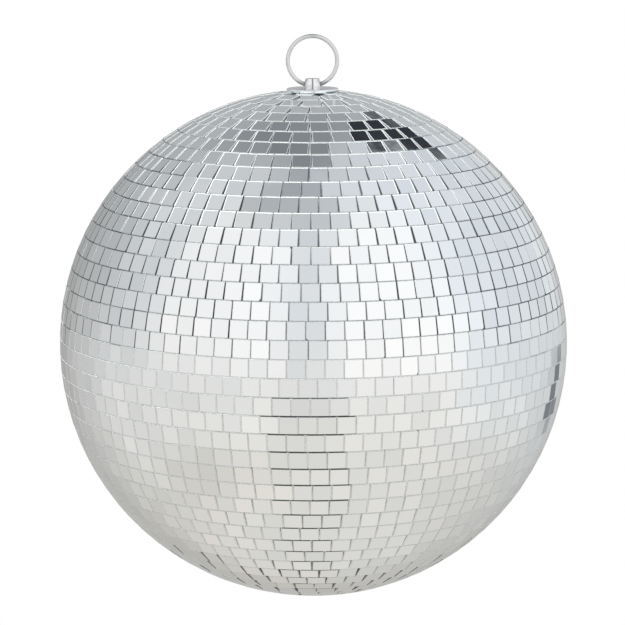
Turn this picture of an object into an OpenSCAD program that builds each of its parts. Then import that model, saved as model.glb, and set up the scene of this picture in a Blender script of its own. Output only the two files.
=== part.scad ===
// Mirror ball: a hollow moulded core, an adhesive bed and rows of flat square mirror tiles.
// It hangs from a round wire ring that passes through the cross hole of a short post.
// Origin: centre of the ball. +Z points up to the hanger. Lengths in millimetres.

/* [Ball] */
// Diameter over the mirror faces
ball_d = 300; // [260:10:310]

/* [Mirror tiles] */
// Side of one square mirror tile
tile_size = 10; // [10:0.5:12]
// Thickness of the mirror glass
tile_t = 1.5; // [1:0.1:2]
// Gap between one row of tiles and the next
row_gap = 0.4; // [0.3:0.05:0.6]
// Gap between two tiles of a row at their closest corners
side_gap = 0.3; // [0.25:0.05:0.5]
// Thickness of the adhesive bed under the tiles
adhesive_t = 0.5; // [0.3:0.1:1]

/* [Core] */
// Wall of the two moulded core shells
shell_wall = 2.5; // [2:0.25:4]
// Height of the tongue that joins the shells at the equator
tongue_h = 6; // [4:0.5:10]
// Diameter of the thick pad inside the crown
crown_pad_d = 46; // [40:1:60]
// Thickness of the crown under the cap plate's hub
crown_pad_t = 6; // [5:0.5:8]

/* [Hanger] */
// Outside diameter of the hanging ring
ring_d = 31.2; // [30:0.1:36]
// Diameter of the ring's wire
ring_wire_d = 2.4; // [2:0.1:2.6]
// Diameter of the post
post_d = 9.6; // [9.4:0.1:11]
// Diameter of the post's flat top
post_top_d = 8.1; // [8:0.1:9]
// Height of the cone that leads in to the flat top
post_cone_h = 2.2; // [1:0.1:2.4]
// Width of the groove down the front of the post
post_groove_w = 0.7; // [0.4:0.1:1.1]
// Depth of that groove
post_groove_depth = 1.2; // [0.4:0.1:1.5]
// Height of the post above the cap plate
post_h = 5.6; // [5.6:0.1:7]
// Height of the cross hole's axis above the cap plate
post_hole_h = 2; // [2:0.1:2.8]
// Diameter of the cap plate
plate_d = 30.4; // [26:0.2:36]
// Thickness of the cap plate's rim
plate_t = 1.2; // [1:0.1:2]

/* [Fixing inside the core] */
// Diameter of the post's stud
stud_d = 6; // [5:1:6]
// Diameter of the load plate under the crown pad
load_plate_d = 40; // [30:1:44]
// Thickness of the load plate
load_plate_t = 2; // [1.5:0.5:3]

/* [Hidden] */
$fn = 96;

ball_r = ball_d / 2;
tile_back_r = ball_r - tile_t;
bond_gap = 0.05;
adhesive_r = tile_back_r - bond_gap;
core_r = adhesive_r - adhesive_t - bond_gap;
core_inner_r = core_r - shell_wall;

// Rows are counted from the top. The hanger stands in the place of the first one.
row_pitch = (tile_size + row_gap) / ball_r * 180 / PI;
first_row = 2;
last_row = floor(180 / row_pitch) - 1;
seam_stagger = 0.618;

tongue_clearance = 0.15;
tongue_r = core_inner_r + shell_wall * 0.45;

hub_r = inner_edge_r(first_row) - 0.5;
crown_z = sqrt(core_r * core_r - hub_r * hub_r);
pad_bottom_z = crown_z - crown_pad_t;
plate_bottom_z = ball_r * cos(row_angle(first_row)) + tile_size / 2 * sin(row_angle(first_row)) + 0.1;
plate_top_z = plate_bottom_z + plate_t;
plate_edge_round = 0.4;

stud_r = stud_d / 2;
bore_clearance = 0.2;
thread_clearance = 0.05;
post_r = post_d / 2;
post_top_r = post_top_d / 2;
post_top_z = plate_top_z + post_h;
hole_z = plate_top_z + post_hole_h;

// The wire curves inside the straight cross hole, so the hole leaves room for half its rise each way.
ring_play = 0.2;
wire_r = ring_wire_d / 2;
ring_r = ring_d / 2 - wire_r;
wire_rise = ring_r - sqrt(ring_r * ring_r - post_r * post_r);
cross_hole_r = wire_r + wire_rise / 2 + ring_play;
ring_centre_z = hole_z - wire_rise / 2 + ring_r;

washer_r = stud_r * 2.1;
washer_t = 1.6;
spring_washer_r = stud_r * 1.95;
spring_washer_t = 1.6;
spring_split = 1;
nut_flats = stud_d * 10 / 6;
nut_h = stud_d * 5 / 6;
load_plate_z = pad_bottom_z - load_plate_t;
washer_z = load_plate_z - washer_t;
spring_washer_z = washer_z - spring_washer_t;
nut_z = spring_washer_z - nut_h;
stud_end_z = nut_z - 2;

bottom_disc_r = inner_edge_r(last_row) - 0.35;

function row_name(row) = str("mirror_row_", row < 10 ? "0" : "", row);

// Polar angle of a row's middle, measured from +Z.
function row_angle(row) = (row - 0.5) * row_pitch;

// Distance from the ball's axis to the row's edge that lies nearer the pole, at the tiles' backs.
function inner_edge_r(row) =
  tile_back_r * sin(row_angle(row)) - tile_size / 2 * abs(cos(row_angle(row)));

// Distance from the ball's axis to the row's other edge, at the tiles' faces.
function outer_edge_r(row) =
  ball_r * sin(row_angle(row)) + tile_size / 2 * abs(cos(row_angle(row)));

// As many tiles as fit side by side where the row is tightest.
function tiles_in_row(row) = floor(180 / atan((tile_size + side_gap) / 2 / inner_edge_r(row)));

// Near the poles a row bends so tightly that its outer corners would reach the next row.
function corners_reach_out(row) =
  pow(tile_size / 2, 2) / (2 * outer_edge_r(row)) * abs(cos(row_angle(row))) > row_gap / 2;

// Each row starts at its own angle, so that the upright seams don't line up.
function row_turn(row) = 360 / tiles_in_row(row) * (row * seam_stagger - floor(row * seam_stagger));

// Keeps what lies above z = bottom, as far as the ball reaches.
module above(bottom) {
  intersection() {
    children();
    translate([-ball_r, -ball_r, bottom]) cube([ball_d, ball_d, ball_r]);
  }
}

// Keeps what lies below z = top, as far as the ball reaches.
module below(top) {
  intersection() {
    children();
    translate([-ball_r, -ball_r, top - ball_d]) cube([ball_d, ball_d, ball_d]);
  }
}

// A flat round piece with a centre hole, standing on z = bottom.
module round_plate(radius, thickness, hole_radius, bottom) {
  translate([0, 0, bottom]) difference() {
    cylinder(r = radius, h = thickness);
    translate([0, 0, -1]) cylinder(r = hole_radius, h = thickness + 2);
  }
}

// Closed ring of round wire that a hook passes through. It stands in the XZ plane.
module hanging_ring() {
  color("silver")
    translate([0, 0, ring_centre_z])
      rotate([90, 0, 0])
        rotate_extrude()
          translate([ring_r, 0]) circle(r = wire_r);
}

// Post with a coned top and a groove down its front, a cross hole for the ring and a stud below.
module hanger_post() {
  color("gainsboro")
    difference() {
      rotate_extrude()
        polygon([
          [0, stud_end_z],
          [stud_r - 0.5, stud_end_z],
          [stud_r, stud_end_z + 0.5],
          [stud_r, plate_top_z],
          [post_r, plate_top_z],
          [post_r, post_top_z - post_cone_h],
          [post_top_r, post_top_z],
          [0, post_top_z]
        ]);
      translate([-post_d, 0, hole_z]) rotate([0, 90, 0]) cylinder(r = cross_hole_r, h = 2 * post_d);
      translate([-post_groove_w / 2, -post_r - 1, plate_top_z - 1])
        cube([post_groove_w, post_groove_depth + 1, post_h + 2]);
    }
}

// Round plate over the innermost tiles, with a hub that reaches down to the crown.
module cap_plate() {
  plate_r = plate_d / 2;
  color("lightgray")
    difference() {
      rotate_extrude()
        polygon([
          [0, crown_z],
          [hub_r, crown_z],
          [hub_r, plate_bottom_z],
          [plate_r, plate_bottom_z],
          [plate_r, plate_top_z - plate_edge_round],
          [plate_r - plate_edge_round, plate_top_z],
          [0, plate_top_z]
        ]);
      translate([0, 0, crown_z - 1])
        cylinder(r = stud_r + bore_clearance, h = plate_top_z - crown_z + 2);
    }
}

// Steel disc that spreads the pull of the stud over the crown pad.
module load_plate() {
  color("darkgray")
    round_plate(load_plate_d / 2, load_plate_t, stud_r + bore_clearance, load_plate_z);
}

module flat_washer() {
  color("silver") round_plate(washer_r, washer_t, stud_r + bore_clearance, washer_z);
}

// Split washer, drawn tightened flat.
module spring_washer() {
  color("dimgray")
    difference() {
      round_plate(spring_washer_r, spring_washer_t, stud_r + bore_clearance, spring_washer_z);
      translate([0, 0, spring_washer_z + spring_washer_t / 2])
        rotate([30, 0, 0])
          translate([0, -spring_split / 2, -5]) cube([2 * spring_washer_r, spring_split, 10]);
    }
}

// Hexagon nut with turned corners.
module lock_nut() {
  corner_r = nut_flats / sqrt(3);
  chamfer = corner_r - nut_flats / 2;
  color("silver")
    difference() {
      translate([0, 0, nut_z])
        intersection() {
          cylinder(r = corner_r, h = nut_h, $fn = 6);
          rotate_extrude()
            polygon([
              [0, 0],
              [nut_flats / 2, 0],
              [corner_r + 0.1, chamfer],
              [corner_r + 0.1, nut_h - chamfer],
              [nut_flats / 2, nut_h],
              [0, nut_h]
            ]);
        }
      translate([0, 0, nut_z - 1]) cylinder(r = stud_r + thread_clearance, h = nut_h + 2);
    }
}

// Upper half of the core, with a flat crown, a thick pad under it and a rebate for the tongue.
module core_upper_shell() {
  color("whitesmoke")
    difference() {
      union() {
        above(0) difference() {
          sphere(r = core_r);
          sphere(r = core_inner_r);
        }
        intersection() {
          sphere(r = core_r - 0.2);
          translate([0, 0, pad_bottom_z]) cylinder(r = crown_pad_d / 2, h = crown_pad_t + 2);
        }
      }
      below(tongue_h + 2 * tongue_clearance) sphere(r = tongue_r + tongue_clearance);
      translate([0, 0, crown_z]) cylinder(r = 2 * hub_r, h = ball_r - crown_z);
      translate([0, 0, pad_bottom_z - 1]) cylinder(r = stud_r + bore_clearance, h = crown_pad_t + 2);
    }
}

// Lower half of the core, with a tongue that stands up inside the upper half.
module core_lower_shell() {
  color("whitesmoke")
    difference() {
      union() {
        below(0) sphere(r = core_r);
        below(tongue_h) sphere(r = tongue_r);
      }
      sphere(r = core_inner_r);
    }
}

// Continuous bed of adhesive over the core, open where the cap plate's hub passes.
module adhesive_bed() {
  color("gainsboro")
    difference() {
      sphere(r = adhesive_r);
      sphere(r = core_r + bond_gap);
      cylinder(r = hub_r + bond_gap, h = ball_r);
    }
}

// The flat square tiles of one row, each facing straight out from the ball's centre.
module square_tiles(row) {
  count = tiles_in_row(row);
  for (i = [0 : count - 1])
    rotate([0, 0, row_turn(row) + i * 360 / count])
      rotate([0, row_angle(row), 0])
        translate([-tile_size / 2, -tile_size / 2, tile_back_r])
          cube([tile_size, tile_size, tile_t]);
}

// Cone from the ball's centre to the line between a row and the next one away from the pole.
module row_limit(row) {
  upper = row_angle(row) < 90;
  half_angle = upper ? row * row_pitch : 180 - (row - 1) * row_pitch;
  height = ball_r + tile_t;
  rotate([upper ? 0 : 180, 0, 0]) cylinder(r1 = 0, r2 = height * tan(half_angle), h = height);
}

// One row of mirror tiles. Next to the poles their outer corners are nipped off.
module mirror_row(row) {
  color("lightsteelblue")
    if (corners_reach_out(row))
      intersection() {
        square_tiles(row);
        row_limit(row);
      }
    else
      square_tiles(row);
}

// Four tiles that close the bottom pole, their outer corners nipped to fit inside the last row.
module mirror_bottom_tiles() {
  color("lightsteelblue")
    intersection() {
      for (x = [-1, 0], y = [-1, 0])
        translate([
          x * tile_size + (x + 0.5) * row_gap,
          y * tile_size + (y + 0.5) * row_gap,
          -ball_r
        ])
          cube([tile_size, tile_size, tile_t]);
      translate([0, 0, -ball_r - 1]) cylinder(r = bottom_disc_r, h = tile_t + 2);
    }
}

hanging_ring();
hanger_post();
cap_plate();
load_plate();
flat_washer();
spring_washer();
lock_nut();
core_upper_shell();
core_lower_shell();
adhesive_bed();
mirror_bottom_tiles();
for (row = [first_row : last_row])
  mirror_row(row);
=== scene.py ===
"""Looks of the mirror ball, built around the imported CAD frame. Lengths in metres, angles in degrees."""

import math
import random

import bmesh
import bpy
from mathutils import Matrix, Vector


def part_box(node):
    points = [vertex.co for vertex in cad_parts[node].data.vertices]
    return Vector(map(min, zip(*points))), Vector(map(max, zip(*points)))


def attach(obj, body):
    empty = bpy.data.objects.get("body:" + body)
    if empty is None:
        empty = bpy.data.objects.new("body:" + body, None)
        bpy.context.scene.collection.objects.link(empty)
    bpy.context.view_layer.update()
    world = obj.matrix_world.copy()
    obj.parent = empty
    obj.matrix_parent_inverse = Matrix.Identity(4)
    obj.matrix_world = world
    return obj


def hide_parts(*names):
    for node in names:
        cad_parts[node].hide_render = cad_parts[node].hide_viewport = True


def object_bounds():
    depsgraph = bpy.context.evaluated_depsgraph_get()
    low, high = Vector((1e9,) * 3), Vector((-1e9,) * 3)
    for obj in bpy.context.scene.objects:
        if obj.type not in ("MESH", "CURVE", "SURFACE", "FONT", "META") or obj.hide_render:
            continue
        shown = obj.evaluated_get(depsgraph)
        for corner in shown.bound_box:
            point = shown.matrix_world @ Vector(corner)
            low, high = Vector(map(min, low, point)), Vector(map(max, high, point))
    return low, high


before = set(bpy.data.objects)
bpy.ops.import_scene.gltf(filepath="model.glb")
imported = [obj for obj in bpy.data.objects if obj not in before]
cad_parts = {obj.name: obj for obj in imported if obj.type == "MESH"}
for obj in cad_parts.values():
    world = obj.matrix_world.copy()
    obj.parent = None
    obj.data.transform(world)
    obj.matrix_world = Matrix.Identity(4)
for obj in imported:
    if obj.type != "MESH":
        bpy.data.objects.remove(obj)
cad_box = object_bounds()
draw = random.Random(30)

MM = 0.001
UP = Vector((0, 0, 1))
BALL_CENTRE = Vector((0, 0, 0))
ball_r = cad_box[1].x
plate_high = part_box("cap_plate")[1]
post_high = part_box("hanger_post")[1]

# Strips round a mirror face, where the cut edge of the glass shows instead of the silver
STRIP_NARROW = 0.08 * MM
STRIP_OPEN = 0.16 * MM
STRIP_PATCH = 0.26 * MM
# The wide pale strips on top and on the sides are painted highlights, where the cut edge catches light
TOP_HIGHLIGHT_STRIP = 0.62 * MM
SIDE_HIGHLIGHT_STRIP = 0.80 * MM
STRIP_DEPTH = 0.12 * MM

# Adhesive squeezed up into the gaps: how far down its top lies and how far it reaches out from a tile
GLUE_DEPTH = 0.38 * MM
GLUE_SLOPE = 0.04 * MM
ROW_REACH = 0.19 * MM
SIDE_REACH = 0.26 * MM
POLE_REACH = 0.32 * MM
# Low on the front is a patch where the gaps between the rows stayed open, their edges painted dark as
# painted shade: its azimuths and its heights
PATCH_MIDDLE, PATCH_HALF = -1.2, 8.5
PATCH_BOTTOM, PATCH_TOP = -0.91 * ball_r, -0.01 * ball_r

# Where each kind of seam is found. A height is a share of the ball's radius above its centre, and a turn
# is how far a tile is from the front or the back. Each pair says where a feature starts and is complete.
MIDDLE_TURNS = (5, 26)
GAPS_OPEN = (0.06, 0.22)
GAPS_CLOSE = (0.68, 0.80)
LOW_GAPS_OPEN = (0.68, 0.78)
# Heights and turns of the wide pale side strips: painted highlights
SIDE_HIGHLIGHT_HEIGHTS = (0.46, 0.62)
SIDE_HIGHLIGHT_TURNS = (12, 30)
SIDE_GLUE_ENDS = (0.02, 0.22)
POLE_GLUE_HEIGHTS = (0.70, 0.84)
# Heights and turns of the wide pale top strips: painted highlights
TOP_HIGHLIGHT_HEIGHTS = (0.42, 0.58)
TOP_HIGHLIGHT_TURNS = (24, 50)
NEAR_POLE = (0.80, 0.92)
ROW_GAP_TURNS = (34, 60)
ROW_GAP_HEIGHTS = (0.0, 0.2)
PATCH_THINS = (0.66, 0.84)

# How strongly those places change a seam: shares taken off a strip or off the adhesive's reach, and last
# the share of SIDE_REACH that adhesive has in the filled gaps near the middle
MIDDLE_STRIP_CUT = 0.7
LOW_GLUE_CUT = 0.35
POLE_STRIP_CUT = 0.35
ROW_GAP_CUT = 0.6
PATCH_STRIP_CUT = 0.6
MIDDLE_GLUE = 0.9

# The share of edges painted dark with the shaded copy of the cut edge, painted shade: uprights in open
# gaps, what comes off that near the middle, uprights low on the ball, and rows
SHADED_UPRIGHTS = 0.85
SHADED_MIDDLE_CUT = 0.50
SHADED_LOW_UPRIGHTS = 0.4
SHADED_ROWS = 0.75

# Spread from one edge to the next, as factors
OPEN_STRIP_SPREAD = (0.7, 1.2)
SIDE_HIGHLIGHT_SPREAD = (0.85, 1.1)
GLUE_SPREAD = (0.5, 1.2)

# The groove down the front of the post: half its width, the depth range over which its painted shade
# ends, as shares of the post's radius, and how strong the painted shade is
GROOVE_HALF = 0.35 * MM
GROOVE_SHADE_FRONT, GROOVE_SHADE_BACK = -0.72, -0.68
GROOVE_SHADE_STRENGTH = 0.73

# How each glass tile is cut and stuck on
CORNER_CUT = (0.12 * MM, 0.35 * MM)
CHIP_CUT = (0.6 * MM, 1.3 * MM)
CHIP_UNEVEN = (0.7, 1.4)
CHIPPED_SHARE = 0.05
TILT_SPREAD = 0.30
SLIDE = 0.05 * MM

# Points closer than this are one point, and a sine smaller than this is a straight line
WELD = 0.005 * MM
STRAIGHT = 0.01
# A face of a CAD tile is its front when the cosine between it and the way out is more than this
FACES_OUT = 0.9

# Rounding of the post's and the cap plate's edges, on edges sharper than this angle
POST_ROUNDING = 0.12 * MM
PLATE_ROUNDING = 0.15 * MM
SHARP_ANGLE = 35


# ---------------------------------------------------------------- node helpers

def put(socket, value):
    """Links a socket, or sets a plain value on it."""
    if isinstance(value, bpy.types.NodeSocket):
        socket.id_data.links.new(value, socket)
    else:
        socket.default_value = value


def add_node(tree, kind, inputs=None, **settings):
    """Adds a shader node. inputs maps a socket's name or number to a link or a plain value."""
    made = tree.nodes.new("ShaderNode" + kind)
    for name, value in settings.items():
        setattr(made, name, value)
    for key, value in (inputs or {}).items():
        put(made.inputs[key], value)
    return made


def math_node(tree, operation, first, second=0.0, third=0.0):
    return add_node(tree, "Math", {0: first, 1: second, 2: third}, operation=operation).outputs[0]


def mix_colour(tree, share, first, second):
    """Blends two colours. Either one is a link or a plain RGBA value."""
    made = add_node(tree, "Mix", {0: share, 6: first, 7: second}, data_type="RGBA")
    return made.outputs[2]


def remap(tree, value, low, high, new_low=0.0, new_high=1.0, smooth=False):
    made = add_node(
        tree, "MapRange",
        {"Value": value, "From Min": low, "From Max": high, "To Min": new_low, "To Max": new_high},
        interpolation_type="SMOOTHSTEP" if smooth else "LINEAR",
    )
    return made.outputs["Result"]


def noise(tree, place, scale, detail=3.0, roughness=0.5):
    made = add_node(
        tree, "TexNoise", {"Vector": place, "Scale": scale, "Detail": detail, "Roughness": roughness}
    )
    return made.outputs[0]


def bump(tree, height, strength, distance):
    made = add_node(tree, "Bump", {"Height": height, "Strength": strength, "Distance": distance})
    return made.outputs["Normal"]


def object_place(tree):
    return add_node(tree, "TexCoord").outputs["Object"]


def stretch(tree, place, scale):
    return add_node(tree, "Mapping", {"Vector": place, "Scale": scale}).outputs["Vector"]


def new_material(name):
    """An empty material, its tree, and its Principled node."""
    material = bpy.data.materials.new(name)
    material.use_nodes = True
    tree = material.node_tree
    tree.nodes.clear()
    surface = add_node(tree, "BsdfPrincipled")
    output = add_node(tree, "OutputMaterial")
    tree.links.new(surface.outputs[0], output.inputs["Surface"])
    return material, tree, surface


# ---------------------------------------------------------------- materials

def tile_place(tree):
    """A tile's own coordinates: across and up it from -1 to 1, and its own random number."""
    attribute = add_node(tree, "Attribute", attribute_name="tile_place")
    parts = add_node(tree, "SeparateXYZ", {0: attribute.outputs["Vector"]})
    return parts.outputs[0], parts.outputs[1], parts.outputs[2]


def mirror_glass():
    """Silvered glass with faint float waviness, finger smudges and silver that dulls at the rim."""
    material, tree, surface = new_material("mirror_glass")
    across, up, own = tile_place(tree)
    place = object_place(tree)
    off_side = math_node(tree, "ABSOLUTE", across)
    off_level = math_node(tree, "ABSOLUTE", up)
    rim = math_node(tree, "MAXIMUM", off_side, off_level)
    ragged = math_node(tree, "MULTIPLY_ADD", noise(tree, place, 900.0), 0.10, rim)
    dull = remap(tree, ragged, 0.95, 1.06, smooth=True)
    darker_silver = (0.80, 0.82, 0.83, 1)
    brighter_silver = (0.89, 0.90, 0.90, 1)
    dulled_silver = (0.52, 0.54, 0.55, 1)
    silver = mix_colour(tree, own, darker_silver, brighter_silver)
    put(surface.inputs["Base Color"], mix_colour(tree, dull, silver, dulled_silver))
    surface.inputs["Metallic"].default_value = 1.0
    smudge = remap(tree, noise(tree, place, 55.0, detail=5.0, roughness=0.62), 0.48, 0.72, 0.02, 0.10)
    put(surface.inputs["Roughness"], math_node(tree, "MULTIPLY_ADD", dull, 0.20, smudge))
    put(surface.inputs["Normal"], bump(tree, noise(tree, place, 130.0, detail=1.0), 0.06, 0.25 * MM))
    return material


def lit_edge_material():
    """The frosted cut edge as the glass shows it from the front, in its lit copy: pale as painted light,
    with chatter marks.
    """
    material, tree, surface = new_material("pale_glass_edge")
    _, _, own = tile_place(tree)
    grain = noise(tree, object_place(tree), 2500.0, detail=4.0)
    frosted = (0.68, 0.72, 0.71, 1)
    sparkling = (0.91, 0.94, 0.93, 1)
    in_shadow = (0.42, 0.46, 0.45, 1)
    colour = mix_colour(tree, grain, frosted, sparkling)
    patchy = math_node(tree, "MULTIPLY", own, 0.25)
    put(surface.inputs["Base Color"], mix_colour(tree, patchy, colour, in_shadow))
    put(surface.inputs["Roughness"], remap(tree, grain, 0.3, 0.7, 0.30, 0.55))
    put(surface.inputs["Normal"], bump(tree, grain, 0.30, 0.1 * MM))
    return material


def shaded_edge_material():
    """The side of the glass in an open gap, in the shaded copy of the cut edge: painted shade, dark
    green-grey and rippled, with some dust.
    """
    material, tree, surface = new_material("cut_glass_side")
    place = object_place(tree)
    ripple = noise(tree, place, 1600.0, detail=3.0)
    dust = remap(tree, noise(tree, place, 420.0, detail=4.0), 0.55, 0.75, smooth=True)
    deep_green = (0.05, 0.07, 0.068, 1)
    grey_green = (0.17, 0.20, 0.195, 1)
    dust_grey = (0.40, 0.41, 0.40, 1)
    colour = mix_colour(tree, ripple, deep_green, grey_green)
    half_dust = math_node(tree, "MULTIPLY", dust, 0.5)
    put(surface.inputs["Base Color"], mix_colour(tree, half_dust, colour, dust_grey))
    put(surface.inputs["Roughness"], remap(tree, ripple, 0.3, 0.7, 0.25, 0.60))
    surface.inputs["Specular IOR Level"].default_value = 0.3
    put(surface.inputs["Normal"], bump(tree, ripple, 0.30, 0.1 * MM))
    return material


def groove_shade(tree, place):
    """How dark the groove down the front of the post is painted: painted shade in the recess."""
    parts = add_node(tree, "SeparateXYZ", {0: place})
    off_middle = math_node(tree, "ABSOLUTE", parts.outputs[0])
    full_to = GROOVE_HALF + 0.02 * MM
    none_from = GROOVE_HALF + 0.07 * MM
    between_walls = remap(tree, off_middle, full_to, none_from, 1.0, 0.0)
    front_y = GROOVE_SHADE_FRONT * post_high.x
    back_y = GROOVE_SHADE_BACK * post_high.x
    in_front = remap(tree, parts.outputs[1], front_y, back_y, 1.0, 0.0)
    in_groove = math_node(tree, "MULTIPLY", between_walls, in_front)
    return math_node(tree, "MULTIPLY", in_groove, GROOVE_SHADE_STRENGTH)


def dark_ring_ends(tree, place):
    """How much darker the ring's wire is next to the cross hole, fading to 0 further up."""
    height = add_node(tree, "SeparateXYZ", {0: place}).outputs[2]
    uneven = math_node(tree, "MULTIPLY_ADD", noise(tree, place, 600.0), 1.5 * MM, height)
    darker_below = post_high.z - 2.5 * MM
    lighter_above = post_high.z + 0.5 * MM
    return remap(tree, uneven, darker_below, lighter_above, 0.7, 0.0, smooth=True)


def chrome(name, colour, roughness, brushed=(1, 1, 1), marks=0.35, darkening=None):
    """Plated metal with hairline marks along one direction, cloudy patches and, with darkening, a darker
    grey where its mask says.
    """
    material, tree, surface = new_material(name)
    place = object_place(tree)
    hairline = noise(tree, stretch(tree, place, brushed), 6000.0, detail=3.0)
    cloud = noise(tree, place, 160.0, detail=4.0)
    duller = tuple(0.80 * part for part in colour) + (1,)
    shade = mix_colour(tree, remap(tree, cloud, 0.55, 0.75), colour + (1,), duller)
    if darkening:
        # A darker grey where the mask says: painted shade in the post's groove, and darker by the ring's
        # cross hole
        darkening_grey = (0.13, 0.135, 0.14, 1)
        shade = mix_colour(tree, darkening(tree, place), shade, darkening_grey)
    put(surface.inputs["Base Color"], shade)
    surface.inputs["Metallic"].default_value = 1.0
    rough = math_node(tree, "MULTIPLY_ADD", remap(tree, hairline, 0.45, 0.75), 0.12 * marks, roughness)
    put(surface.inputs["Roughness"], math_node(tree, "MULTIPLY_ADD", cloud, 0.06, rough))
    put(surface.inputs["Normal"], bump(tree, hairline, 0.03 * marks, 0.02 * MM))
    return material


def steel(name, colour, roughness):
    """Plain plated or oiled steel with a crystal-like mottle."""
    material, tree, surface = new_material(name)
    place = object_place(tree)
    mottle = add_node(tree, "TexVoronoi", {"Vector": place, "Scale": 420.0}).outputs["Distance"]
    lighter = tuple(min(1.0, 1.25 * part) for part in colour) + (1,)
    put(surface.inputs["Base Color"], mix_colour(tree, mottle, colour + (1,), lighter))
    surface.inputs["Metallic"].default_value = 1.0
    put(surface.inputs["Roughness"], remap(tree, mottle, 0.0, 0.8, roughness, roughness + 0.18))
    put(surface.inputs["Normal"], bump(tree, noise(tree, place, 1200.0), 0.15, 0.05 * MM))
    return material


def moulded_plastic():
    """Off-white moulded core: matt, with a faint spark-eroded grain."""
    material, tree, surface = new_material("core_plastic")
    place = object_place(tree)
    shade = noise(tree, place, 30.0, detail=3.0)
    off_white = (0.78, 0.78, 0.75, 1)
    near_white = (0.88, 0.88, 0.86, 1)
    put(surface.inputs["Base Color"], mix_colour(tree, shade, off_white, near_white))
    put(surface.inputs["Roughness"], remap(tree, shade, 0.3, 0.7, 0.48, 0.62))
    put(surface.inputs["Normal"], bump(tree, noise(tree, place, 1400.0), 0.20, 0.08 * MM))
    return material


def dried_adhesive():
    """Light grey contact adhesive: trowelled unevenly, dusty in places and a little glossy in others."""
    material, tree, surface = new_material("dried_adhesive")
    place = object_place(tree)
    drag = noise(tree, stretch(tree, place, (1, 1, 3)), 260.0, detail=5.0)
    dust = noise(tree, place, 900.0, detail=3.0)
    thick_grey = (0.34, 0.36, 0.36, 1)
    thin_grey = (0.62, 0.64, 0.63, 1)
    dust_grey = (0.62, 0.62, 0.60, 1)
    wet = mix_colour(tree, drag, thick_grey, thin_grey)
    some_dust = math_node(tree, "MULTIPLY", dust, 0.3)
    put(surface.inputs["Base Color"], mix_colour(tree, some_dust, wet, dust_grey))
    put(surface.inputs["Roughness"], remap(tree, drag, 0.3, 0.7, 0.35, 0.75))
    put(surface.inputs["Normal"], bump(tree, drag, 0.55, 0.25 * MM))
    return material


def squeezed_adhesive():
    """The adhesive that came up between the tiles: pale, and darker on the upper half of the ball,
    painted shade.
    """
    material, tree, surface = new_material("squeezed_adhesive")
    place = object_place(tree)
    height = add_node(tree, "SeparateXYZ", {0: place}).outputs[2]
    upper_half_shade = remap(tree, height, 0.0, 0.3 * ball_r, smooth=True)
    lumps = noise(tree, place, 700.0, detail=4.0)
    pale, paler = (0.76, 0.78, 0.77, 1), (0.90, 0.91, 0.90, 1)
    dark_shade_grey, light_shade_grey = (0.26, 0.28, 0.29, 1), (0.40, 0.42, 0.43, 1)
    clean = mix_colour(tree, lumps, pale, paler)
    # The upper half's darker colour is painted shade in the seams
    dust = mix_colour(tree, lumps, dark_shade_grey, light_shade_grey)
    put(surface.inputs["Base Color"], mix_colour(tree, upper_half_shade, clean, dust))
    put(surface.inputs["Roughness"], remap(tree, lumps, 0.3, 0.7, 0.30, 0.60))
    put(surface.inputs["Normal"], bump(tree, lumps, 0.40, 0.1 * MM))
    return material


def clear_glue():
    """The bead squeezed out under the cap plate: a glassy, slightly milky adhesive."""
    material, tree, surface = new_material("glue_bead")
    place = object_place(tree)
    cloud = noise(tree, place, 500.0, detail=4.0)
    glassy = (0.52, 0.57, 0.56, 1)
    milky = (0.84, 0.88, 0.86, 1)
    put(surface.inputs["Base Color"], mix_colour(tree, cloud, glassy, milky))
    put(surface.inputs["Roughness"], remap(tree, cloud, 0.3, 0.7, 0.08, 0.28))
    surface.inputs["Coat Weight"].default_value = 0.5
    surface.inputs["Subsurface Weight"].default_value = 0.15
    put(surface.inputs["Normal"], bump(tree, cloud, 0.25, 0.2 * MM))
    return material


# ---------------------------------------------------------------- mirror tiles

# A tile's materials, by their place in the mesh's list. The cut edge of the glass comes as a lit copy,
# painted light, and a shaded copy, painted shade.
MIRROR, LIT_EDGE, SHADED_EDGE, GLUE = range(4)


def join_loop(edges):
    """The vertices of a closed chain of edges, in order."""
    follow = {}
    for edge in edges:
        for vert in edge.verts:
            follow.setdefault(vert, []).append(edge.other_vert(vert))
    start = next(iter(follow))
    loop, before, here = [start], None, start
    while True:
        ahead = [v for v in follow[here] if v is not before]
        before, here = here, ahead[0]
        if here is start:
            return loop
        loop.append(here)


def solid_groups(mesh):
    """The faces of each separate closed solid in a mesh."""
    seen = set()
    for face in mesh.faces:
        if face in seen:
            continue
        group, waiting = [], [face]
        seen.add(face)
        while waiting:
            here = waiting.pop()
            group.append(here)
            for edge in here.edges:
                for other in edge.link_faces:
                    if other not in seen:
                        seen.add(other)
                        waiting.append(other)
        yield group


def corners_only(points):
    """Leaves out points that lie on a straight line between their neighbours."""
    kept = []
    for i, point in enumerate(points):
        before, after = points[i - 1], points[(i + 1) % len(points)]
        bend = (point - before).normalized().cross((after - point).normalized())
        if abs(bend) > STRAIGHT:
            kept.append(point)
    return kept


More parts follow.
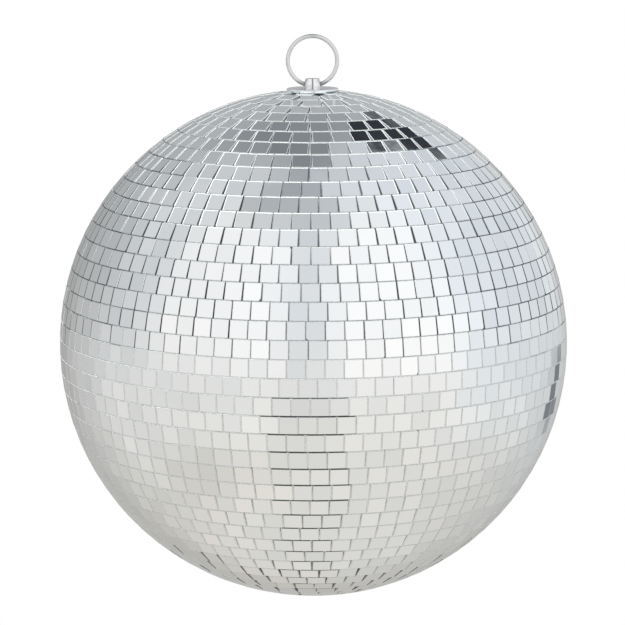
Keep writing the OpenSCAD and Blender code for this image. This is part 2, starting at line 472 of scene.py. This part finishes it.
class Tile:
    """One CAD tile: its centre, its own axes, its outline in them and its thickness."""

    def __init__(self, faces):
        middle = sum((f.calc_center_median() for f in faces), Vector()) / len(faces)
        out = (middle - BALL_CENTRE).normalized()
        front = [f for f in faces if f.normal.dot(out) > FACES_OUT]
        self.normal = sum((f.normal * f.calc_area() for f in front), Vector()).normalized()
        side = UP.cross(self.normal)
        self.across = side.normalized() if side.length > STRAIGHT else Vector((1, 0, 0))
        self.up = self.normal.cross(self.across)
        shown = set(front)
        border = [e for f in front for e in f.edges if sum(g in shown for g in e.link_faces) == 1]
        loop = [v.co.copy() for v in join_loop(border)]
        self.centre = sum(loop, Vector()) / len(loop)
        points = [self.flat(p) for p in loop]
        low = [min(p[i] for p in points) for i in (0, 1)]
        high = [max(p[i] for p in points) for i in (0, 1)]
        self.centre += self.across * (low[0] + high[0]) / 2 + self.up * (low[1] + high[1]) / 2
        self.half = max(high[0] - low[0], high[1] - low[1]) / 2
        self.height = self.centre.z / ball_r
        self.azimuth = math.degrees(math.atan2(self.centre.x, -self.centre.y))
        self.outline = corners_only([self.flat(p) for p in loop])
        if area(self.outline) < 0:
            self.outline.reverse()
        heights = [(v.co - self.centre).dot(self.normal) for f in faces for v in f.verts]
        self.thickness = max(heights) - min(heights)

    def flat(self, point):
        return Vector(((point - self.centre).dot(self.across), (point - self.centre).dot(self.up)))

    def solid(self, point, height):
        return self.centre + self.across * point.x + self.up * point.y + self.normal * height


def area(points):
    return sum(points[i - 1].cross(points[i]) for i in range(len(points))) / 2


def nip_corners(outline, half):
    """Takes a little off each sharp corner, and more off the few corners that are chipped."""
    chipped = draw.randrange(len(outline)) if draw.random() < CHIPPED_SHARE else None
    nipped = []
    for i, corner in enumerate(outline):
        cut = draw.uniform(*(CHIP_CUT if i == chipped else CORNER_CUT))
        to_before = outline[i - 1] - corner
        to_after = outline[(i + 1) % len(outline)] - corner
        if min(to_before.length, to_after.length) < half:
            nipped.append(corner)
            continue
        uneven = draw.uniform(*CHIP_UNEVEN) if i == chipped else 1.0
        nipped.append(corner + to_before.normalized() * cut)
        nipped.append(corner + to_after.normalized() * cut * uneven)
    return nipped


def ease(value, low, high):
    """Rises smoothly from 0 at low to 1 at high."""
    share = min(1.0, max(0.0, (value - low) / (high - low)))
    return share * share * (3 - 2 * share)


def gap_openness(height):
    """1 where a row's upright gaps are open and their edges mostly painted dark as painted shade, and 0
    low on the ball and next to the top pole.
    """
    return ease(height, *GAPS_OPEN) * (1 - ease(height, *GAPS_CLOSE))


def turned_away(tile):
    """How far round the ball a tile is from the front or the back, whichever is nearer."""
    return min(abs(tile.azimuth), 180 - abs(tile.azimuth))


def in_open_shaded_patch(tile):
    """True for the tiles low on the front that have open gaps above and below them, their edges painted
    shade.
    """
    in_front = abs(tile.azimuth - PATCH_MIDDLE) < PATCH_HALF
    return in_front and PATCH_BOTTOM < tile.centre.z < PATCH_TOP


class Edge:
    """How one edge of a tile is finished: its strip's width, the adhesive's reach and its materials.

    The materials go outwards and down: strip, side of the glass, top and side of the adhesive. A dark
    edge gets the shaded copy of the cut edge, painted shade; the others get the lit copy on strip and
    side.
    """

    def __init__(self, strip, reach, dark):
        self.strip = strip
        self.reach = reach
        if dark:
            self.kinds = (SHADED_EDGE, SHADED_EDGE, GLUE, SHADED_EDGE)
        else:
            self.kinds = (LIT_EDGE, LIT_EDGE, GLUE, GLUE)


def side_edge(tile, outer):
    """The left or right edge of a tile. High on the ball's sides the outer one has a wide pale strip, a
    painted highlight.
    """
    height = tile.height
    turn = turned_away(tile)
    middle = 1 - ease(turn, *MIDDLE_TURNS)
    openness = gap_openness(height)
    low_openness = ease(-height, *LOW_GAPS_OPEN)
    wide = ease(height, *SIDE_HIGHLIGHT_HEIGHTS) * ease(turn, *SIDE_HIGHLIGHT_TURNS) if outer else 0.0
    opened = (STRIP_OPEN - STRIP_NARROW) * openness * (1 - MIDDLE_STRIP_CUT * middle)
    strip = STRIP_NARROW + opened * draw.uniform(*OPEN_STRIP_SPREAD)
    strip += (SIDE_HIGHLIGHT_STRIP - STRIP_NARROW) * wide * draw.uniform(*SIDE_HIGHLIGHT_SPREAD)
    low_down = SIDE_REACH * (1 - ease(height, *SIDE_GLUE_ENDS)) * (1 - LOW_GLUE_CUT * low_openness)
    near_pole = POLE_REACH * ease(height, *POLE_GLUE_HEIGHTS)
    filled_middle = MIDDLE_GLUE * SIDE_REACH * openness * middle
    reach = max(low_down, near_pole, filled_middle) * draw.uniform(*GLUE_SPREAD)
    # Whether this upright edge is painted dark with the shaded copy: painted shade
    shaded_share = openness * (SHADED_UPRIGHTS - SHADED_MIDDLE_CUT * middle)
    chance = max(shaded_share, SHADED_LOW_UPRIGHTS * low_openness) * (1 - wide)
    return Edge(strip, reach, dark=draw.random() < chance)


def row_edge(tile, top):
    """The top or bottom edge of a tile. High on the front and back the top one has a wide pale strip, a
    painted highlight.
    """
    height = tile.height
    turn = turned_away(tile)
    # In the patch every row edge is painted dark with the shaded copy: painted shade
    if in_open_shaded_patch(tile):
        thinner = PATCH_STRIP_CUT * ease(-height, *PATCH_THINS)
        return Edge(STRIP_PATCH * (1 - thinner), ROW_REACH * thinner, dark=True)
    near_pole = ease(height, *NEAR_POLE)
    wide = ease(height, *TOP_HIGHLIGHT_HEIGHTS) * (1 - ease(turn, *TOP_HIGHLIGHT_TURNS)) if top else 0.0
    wide *= 1 - POLE_STRIP_CUT * near_pole
    openness = ease(turn, *ROW_GAP_TURNS) * ease(height, *ROW_GAP_HEIGHTS) * (1 - near_pole)
    strip = STRIP_NARROW * (1 - ROW_GAP_CUT * openness) + (TOP_HIGHLIGHT_STRIP - STRIP_NARROW) * wide
    reach = ROW_REACH * (1 - ROW_GAP_CUT * openness)
    # Whether this row edge is painted dark with the shaded copy: painted shade
    return Edge(strip, reach, dark=draw.random() < SHADED_ROWS * openness)


def tile_edges(tile):
    """The left, right, bottom and top edge of a tile."""
    outer_is_left = (tile.azimuth < 0) == (abs(tile.azimuth) < 90)
    left = side_edge(tile, outer_is_left)
    right = side_edge(tile, not outer_is_left)
    return [left, right, row_edge(tile, top=False), row_edge(tile, top=True)]


def moved(point, tile, left, right, bottom, top):
    """A point of a tile's outline, moved out by a distance for each edge. Less than 0 moves it in."""
    across = (point.x / tile.half + 1) / 2
    up = (point.y / tile.half + 1) / 2
    return point + Vector((right * across - left * (1 - across), top * up - bottom * (1 - up)))


def nearest_edge(middle, edges):
    left, right, bottom, top = edges
    if abs(middle.y) > abs(middle.x):
        return top if middle.y > 0 else bottom
    return right if middle.x > 0 else left


def add_tile(mesh, tile, place_layer):
    """Builds one glass tile: a mirror face, narrow strips, sides, and the adhesive it is bedded in."""
    own = draw.random()
    outline = nip_corners(tile.outline, tile.half)
    slide = Vector((draw.uniform(-SLIDE, SLIDE), draw.uniform(-SLIDE, SLIDE)))
    lean = [math.tan(math.radians(draw.gauss(0, TILT_SPREAD))) for _ in range(2)]
    sink = (abs(lean[0]) + abs(lean[1])) * tile.half
    edges = tile_edges(tile)

    def ring(points, depth):
        verts = []
        for point in points:
            flat = point + slide
            height = lean[0] * flat.x + lean[1] * flat.y - sink - depth
            vert = mesh.verts.new(tile.solid(flat, height))
            vert[place_layer] = (point.x / tile.half, point.y / tile.half, own)
            verts.append(vert)
        return verts

    face = [moved(point, tile, *(-edge.strip for edge in edges)) for point in outline]
    skirt = [moved(point, tile, *(edge.reach for edge in edges)) for point in outline]
    rings = [
        ring(face, 0),
        ring(outline, STRIP_DEPTH),
        ring(outline, GLUE_DEPTH),
        ring(skirt, GLUE_DEPTH + GLUE_SLOPE),
        ring(skirt, tile.thickness),
    ]
    mesh.faces.new(rings[0]).material_index = MIRROR
    for i in range(len(outline)):
        j = (i + 1) % len(outline)
        kinds = nearest_edge(outline[i] + outline[j], edges).kinds
        for above, below, kind in zip(rings, rings[1:], kinds):
            mesh.faces.new((above[i], below[i], below[j], above[j])).material_index = kind
    mesh.faces.new(list(reversed(rings[-1]))).material_index = GLUE


def tile_piece(node, name, materials):
    """Replaces one CAD node of tiles by glass tiles in the same places."""
    source = bmesh.new()
    source.from_mesh(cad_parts[node].data)
    bmesh.ops.remove_doubles(source, verts=source.verts, dist=WELD)
    source.normal_update()
    made = bmesh.new()
    place_layer = made.verts.layers.float_vector.new("tile_place")
    for faces in solid_groups(source):
        add_tile(made, Tile(faces), place_layer)
    source.free()
    made.normal_update()
    data = bpy.data.meshes.new(name)
    made.to_mesh(data)
    made.free()
    for material in materials:
        data.materials.append(material)
    piece = bpy.data.objects.new(name, data)
    bpy.context.scene.collection.objects.link(piece)
    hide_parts(node)
    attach(piece, "ball")


# ---------------------------------------------------------------- hanger

def rim_underside():
    """Height of the cap plate's underside at its rim."""
    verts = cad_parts["cap_plate"].data.vertices
    return min(v.co.z for v in verts if v.co.xy.length > plate_high.x - 0.1 * MM)


def bead_swell(turn, lumps):
    """How thick the bead is at an angle, where 1 is full size. Most of it came out at the front."""
    thinnest, thickest = 0.45, 1.7
    swell = thinnest
    for middle, width, height in lumps:
        away = abs((turn - middle + math.pi) % (2 * math.pi) - math.pi)
        swell += height * math.exp(-((away / width) ** 2))
    return min(swell, thickest)


def bead_lumps(count, start, turns, widths, heights):
    """Lumps of the bead, each an angle from start, a width and a height drawn from those ranges."""
    return [
        (start + draw.uniform(*turns), draw.uniform(*widths), draw.uniform(*heights))
        for _ in range(count)
    ]


def glue_bead(material):
    """A lumpy bead of adhesive that was squeezed out round the cap plate's rim."""
    path_r = plate_high.x - 0.10 * MM
    path_z = rim_underside() - 0.30 * MM
    full_size = 0.45 * MM
    flattened = 0.7
    front = -math.pi / 2
    steps, sides = 240, 12
    lumps = bead_lumps(14, 0, (0, 2 * math.pi), (0.05, 0.20), (0.3, 0.8))
    lumps += bead_lumps(6, front, (-0.4, 0.75), (0.05, 0.12), (0.7, 1.2))
    made = bmesh.new()
    rings = []
    for i in range(steps):
        turn = 2 * math.pi * i / steps
        thick = full_size * bead_swell(turn, lumps)
        ring = []
        for j in range(sides):
            round_it = 2 * math.pi * j / sides
            radius = path_r + thick * math.cos(round_it)
            height = path_z + flattened * thick * math.sin(round_it)
            ring.append(made.verts.new((radius * math.cos(turn), radius * math.sin(turn), height)))
        rings.append(ring)
    for i in range(steps):
        for j in range(sides):
            k = (j + 1) % sides
            made.faces.new((rings[i - 1][j], rings[i][j], rings[i][k], rings[i - 1][k]))
    bmesh.ops.recalc_face_normals(made, faces=made.faces)
    data = bpy.data.meshes.new("glue_bead")
    made.to_mesh(data)
    made.free()
    data.materials.append(material)
    for polygon in data.polygons:
        polygon.use_smooth = True
    piece = bpy.data.objects.new("glue_bead", data)
    bpy.context.scene.collection.objects.link(piece)
    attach(piece, "ball")


def soften_edges(node, width):
    """Welds a CAD node's split corners and rounds its sharp edges, with modifiers only."""
    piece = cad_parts[node]
    weld = piece.modifiers.new("weld", "WELD")
    weld.merge_threshold = WELD
    bevel = piece.modifiers.new("bevel", "BEVEL")
    bevel.width = width
    bevel.segments = 3
    bevel.limit_method = "ANGLE"
    bevel.angle_limit = math.radians(SHARP_ANGLE)
    bevel.harden_normals = True


def dress(node, material):
    """Gives a CAD node its finished material."""
    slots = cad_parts[node].data.materials
    slots.clear()
    slots.append(material)


# ---------------------------------------------------------------- studio

def ray_direction(tree):
    """Azimuth from -Y towards +X, and elevation, of the direction a ray leaves in. Both in degrees."""
    parts = add_node(tree, "SeparateXYZ", {0: add_node(tree, "TexCoord").outputs["Generated"]})
    backwards = math_node(tree, "MULTIPLY", parts.outputs[1], -1.0)
    azimuth = math_node(tree, "ARCTAN2", parts.outputs[0], backwards)
    elevation = math_node(tree, "ARCSINE", parts.outputs[2])
    return math_node(tree, "DEGREES", azimuth), math_node(tree, "DEGREES", elevation)


def panel_share(tree, azimuth, elevation, middle, half, soft):
    """1 inside a soft-edged rectangle of directions and 0 outside it."""
    turned = math_node(tree, "SUBTRACT", azimuth, middle[0])
    across = math_node(tree, "ABSOLUTE", math_node(tree, "WRAP", turned, 180.0, -180.0))
    along = math_node(tree, "ABSOLUTE", math_node(tree, "SUBTRACT", elevation, middle[1]))
    inside = [
        remap(tree, off, size - soft, size + soft, 1.0, 0.0, smooth=True)
        for off, size in ((across, half[0]), (along, half[1]))
    ]
    return math_node(tree, "MULTIPLY", inside[0], inside[1])


# Light and dark areas of the studio: middle and half size as (azimuth, elevation), softness, added light
PANELS = [
    ("left softbox", (-45, 28), (32, 34), 13, (0.355, 0.33, 0.31)),
    ("right softbox", (40, 26), (32, 36), 13, (0.295, 0.27, 0.25)),
    ("right wall", (112, 20), (45, 52), 15, (0.125, 0.15, 0.175)),
    ("left wall", (-92, 20), (22, 60), 12, (0.14, 0.14, 0.14)),
    ("bright wall high on the left", (-118, 45), (22, 20), 10, (0.11, 0.11, 0.11)),
    ("dim ceiling at the back", (-170, 65), (32, 18), 12, (-0.24, -0.24, -0.24)),
    ("dim ceiling in front", (-24, 74), (50, 14), 9, (-0.24, -0.24, -0.24)),
    ("dim middle of the ceiling", (0, 90), (180, 10), 6, (-0.13, -0.13, -0.12)),
    ("pale corner at the back left", (-115, -28), (26, 24), 15, (0.12, 0.12, 0.12)),
    ("pale band low on the left", (-48, -24), (30, 12), 12, (0.17, 0.17, 0.165)),
    ("pale band low on the right", (40, -25), (30, 10), 10, (0.07, 0.07, 0.065)),
    ("dim corner at the back", (-162, 0), (20, 14), 10, (-0.08, -0.08, -0.08)),
    ("pale patch at the back right", (148, 8), (12, 10), 8, (0.12, 0.12, 0.12)),
    ("pale floor in the distance", (-100, -55), (85, 14), 12, (0.06, 0.05, 0.02)),
    ("grey shelf on the right", (148, -23), (26, 10), 8, (-0.08, -0.08, -0.08)),
]
# Cards that hide what is behind them: middle, half size, softness and colour
CARDS = [
    ("dark card", (155, 47.5), (12, 12), 1.2, (0.038, 0.042, 0.052, 1)),
    ("grey flag", (144, -15), (6, 5), 1.5, (0.22, 0.23, 0.25, 1)),
]
# Light of the walls and of the floor, how much it changes round the room, and its brightest azimuth
WALL_LIGHT, WALL_SWING = 0.67, 0.17
FLOOR_LIGHT, FLOOR_SWING = 0.785, 0.03
BRIGHTEST_SIDE = 30
# Elevations between which the floor turns into wall, and the light turns from warm to cool
FLOOR_EDGE = (-70.0, -40.0)
TINT_EDGE = (-38.0, 28.0)
WARM, COOL = (1.025, 1.0, 0.955, 1), (0.965, 0.995, 1.03, 1)

# The pale floor: how far below the ball's centre it is, its size, and the light it gives to the ball
FLOOR_Z = -3.2
FLOOR_R = 28
FLOOR_GLOW = 0.76
WHITE = (1, 1, 1, 1)

# The key light: where it stands, its width and its power in watts
KEY_PLACE = (-0.8, -0.5, 2.4)
KEY_WIDTH = 0.7
KEY_POWER = 60

# The camera: distance to the ball's centre, view angles, lens and sensor in mm, and where it aims
VIEW_DISTANCE = 1.59
VIEW_ELEVATION, VIEW_ROLL = 10.3, -0.2
LENS, SENSOR = 154, 36
AIM_X, AIM_Z = -0.0005, 0.0178


def studio_world():
    """A soft white studio for reflections and light, with a clean white background for the camera."""
    world = bpy.data.worlds.new("studio")
    bpy.context.scene.world = world
    world.use_nodes = True
    tree = world.node_tree
    tree.nodes.clear()
    azimuth, elevation = ray_direction(tree)
    off_side = math_node(tree, "RADIANS", math_node(tree, "SUBTRACT", azimuth, BRIGHTEST_SIDE))
    above_floor = remap(tree, elevation, *FLOOR_EDGE, smooth=True)
    level = remap(tree, above_floor, 0.0, 1.0, FLOOR_LIGHT, WALL_LIGHT)
    swing = remap(tree, above_floor, 0.0, 1.0, FLOOR_SWING, WALL_SWING)
    light = math_node(tree, "MULTIPLY_ADD", math_node(tree, "COSINE", off_side), swing, level)
    tint = mix_colour(tree, remap(tree, elevation, *TINT_EDGE, smooth=True), WARM, COOL)
    colour = add_node(tree, "VectorMath", {0: tint, "Scale": light}, operation="SCALE").outputs[0]
    for _, middle, half, soft, change in PANELS:
        share = panel_share(tree, azimuth, elevation, middle, half, soft)
        inputs = {0: share, 1: change, 2: colour}
        colour = add_node(tree, "VectorMath", inputs, operation="MULTIPLY_ADD").outputs[0]
    for _, middle, half, soft, card in CARDS:
        share = panel_share(tree, azimuth, elevation, middle, half, soft)
        colour = mix_colour(tree, share, colour, card)
    room = add_node(tree, "Background", {"Color": colour})
    clean = add_node(tree, "Background", {"Color": WHITE, "Strength": 1.0})
    seen = add_node(tree, "LightPath").outputs["Is Camera Ray"]
    shown = add_node(tree, "MixShader", {0: seen, 1: room.outputs[0], 2: clean.outputs[0]})
    output = add_node(tree, "OutputWorld")
    tree.links.new(shown.outputs[0], output.inputs["Surface"])


def studio_floor():
    """A wide pale floor well below the hanging ball. Mirrors show the world's own lower half instead."""
    bpy.ops.mesh.primitive_circle_add(
        vertices=96, radius=FLOOR_R, fill_type="NGON", location=(0, 0, FLOOR_Z)
    )
    floor = bpy.context.object
    floor.name = "studio_floor"
    material = bpy.data.materials.new("pale_floor")
    material.use_nodes = True
    tree = material.node_tree
    tree.nodes.clear()
    warm = add_node(tree, "Emission", {"Color": (1.0, 0.985, 0.95, 1), "Strength": FLOOR_GLOW})
    clean = add_node(tree, "Emission", {"Color": WHITE, "Strength": 1.0})
    seen = add_node(tree, "LightPath").outputs["Is Camera Ray"]
    shown = add_node(tree, "MixShader", {0: seen, 1: warm.outputs[0], 2: clean.outputs[0]})
    output = add_node(tree, "OutputMaterial")
    tree.links.new(shown.outputs[0], output.inputs["Surface"])
    floor.data.materials.append(material)
    floor.visible_glossy = False


def key_light():
    """A soft key from high on the left. It lights frosted and matt surfaces, but isn't mirrored."""
    data = bpy.data.lights.new("key", "AREA")
    data.shape = "SQUARE"
    data.size = KEY_WIDTH
    data.energy = KEY_POWER
    light = bpy.data.objects.new("key", data)
    light.location = KEY_PLACE
    light.rotation_mode = "QUATERNION"
    light.rotation_quaternion = (BALL_CENTRE - light.location).to_track_quat("-Z", "Y")
    light.visible_glossy = False
    bpy.context.scene.collection.objects.link(light)


def studio_camera():
    """A long lens a little above the ball's centre, aimed so that the ring has room above it."""
    data = bpy.data.cameras.new("camera")
    data.sensor_width = SENSOR
    data.lens = LENS
    camera = bpy.data.objects.new("camera", data)
    tilt = math.radians(VIEW_ELEVATION)
    camera.location = Vector((0, -math.cos(tilt), math.sin(tilt))) * VIEW_DISTANCE
    aim = BALL_CENTRE + Vector((AIM_X, 0, AIM_Z))
    look = (aim - camera.location).to_track_quat("-Z", "Y").to_matrix().to_4x4()
    roll = Matrix.Rotation(math.radians(VIEW_ROLL), 4, "Z")
    camera.rotation_mode = "QUATERNION"
    camera.rotation_quaternion = (look @ roll).to_quaternion()
    bpy.context.scene.collection.objects.link(camera)
    bpy.context.scene.camera = camera


# ---------------------------------------------------------------- everything together

studio_camera()
studio_world()
studio_floor()
key_light()
bpy.context.scene.view_settings.view_transform = "Standard"

glass_materials = [mirror_glass(), lit_edge_material(), shaded_edge_material(), squeezed_adhesive()]
for node in sorted(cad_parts):
    if node.startswith("mirror_row_"):
        tile_piece(node, node.replace("mirror_", "") + "_tiles", glass_materials)
tile_piece("mirror_bottom_tiles", "bottom_tiles", glass_materials)

ring_chrome = chrome("ring_chrome", (0.69, 0.69, 0.685), 0.05, darkening=dark_ring_ends)
# The post's groove is painted dark: painted shade
post_chrome = chrome(
    "post_chrome", (0.82, 0.83, 0.825), 0.07, brushed=(1, 1, 6), darkening=groove_shade
)
plate_chrome = chrome("plate_chrome", (0.90, 0.90, 0.91), 0.30, marks=1.0)
dress("hanging_ring", ring_chrome)
dress("hanger_post", post_chrome)
dress("cap_plate", plate_chrome)
zinc = steel("zinc_steel", (0.62, 0.64, 0.66), 0.28)
for fixing in ("load_plate", "flat_washer", "lock_nut"):
    dress(fixing, zinc)
dress("spring_washer", steel("spring_steel", (0.30, 0.30, 0.31), 0.35))
plastic = moulded_plastic()
dress("core_upper_shell", plastic)
dress("core_lower_shell", plastic)
dress("adhesive_bed", dried_adhesive())
soften_edges("hanger_post", POST_ROUNDING)
soften_edges("cap_plate", PLATE_ROUNDING)
glue_bead(clear_glue())
